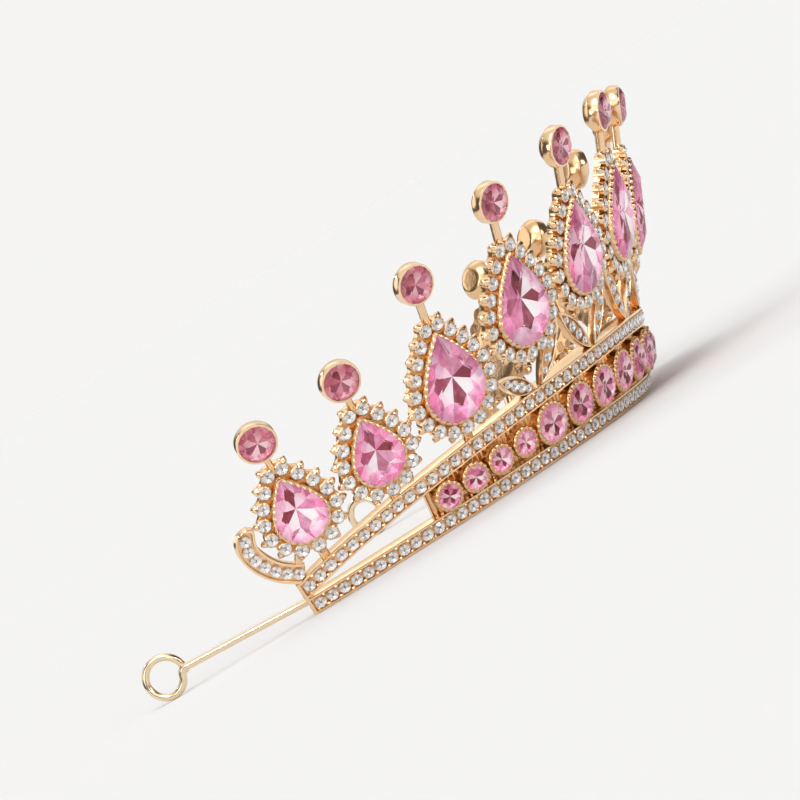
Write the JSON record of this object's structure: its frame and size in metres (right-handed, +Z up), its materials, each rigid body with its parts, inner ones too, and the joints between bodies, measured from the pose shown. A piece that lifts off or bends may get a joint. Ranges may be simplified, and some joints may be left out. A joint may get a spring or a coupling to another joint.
{
  "type": "princess crown",
  "caption": "Open princess crown with two stone rails, pear-shaped settings in beaded halos, round top stones, leaves, end scrolls and looped hairpin wires.",
  "frame": {"origin": "on the surface that the crown stands on, midway across its width and its depth", "axes": "+X to the wearer's left, -Y to the front, +Z up"},
  "size_m": [0.1622, 0.118, 0.0566],
  "materials": {
    "gold_plate": "bright gold plate, peach-gold on rims and deeper orange in recesses",
    "pink_glass": "foil-backed cut pink glass",
    "rose_glass": "foil-backed cut dusty rose glass",
    "clear_glass": "small foil-backed clear stones"
  },
  "bodies": {
    "root": {"gold_frame": "gold_plate", "pear_stone_01": "pink_glass", "pear_stone_02": "pink_glass", "pear_stone_03": "pink_glass", "pear_stone_04": "pink_glass", "pear_stone_05": "pink_glass", "pear_stone_06": "pink_glass", "pear_stone_07": "pink_glass", "pear_stone_08": "pink_glass", "pear_stone_09": "pink_glass", "pear_stone_10": "pink_glass", "pear_stone_11": "pink_glass", "top_stone_01": "rose_glass", "top_stone_02": "rose_glass", "top_stone_03": "rose_glass", "top_stone_04": "rose_glass", "top_stone_05": "rose_glass", "top_stone_06": "rose_glass", "top_stone_07": "rose_glass", "top_stone_08": "rose_glass", "top_stone_09": "rose_glass", "top_stone_10": "rose_glass", "top_stone_11": "rose_glass", "band_stone_01": "pink_glass", "band_stone_02": "pink_glass", "band_stone_03": "pink_glass", "band_stone_04": "pink_glass", "band_stone_05": "pink_glass", "band_stone_06": "pink_glass", "band_stone_07": "pink_glass", "band_stone_08": "pink_glass", "band_stone_09": "pink_glass", "band_stone_10": "pink_glass", "band_stone_11": "pink_glass", "band_stone_12": "pink_glass", "band_stone_13": "pink_glass", "band_stone_14": "pink_glass", "band_stone_15": "pink_glass", "band_stone_16": "pink_glass", "band_stone_17": "pink_glass"}
  },
  "joints": []
}
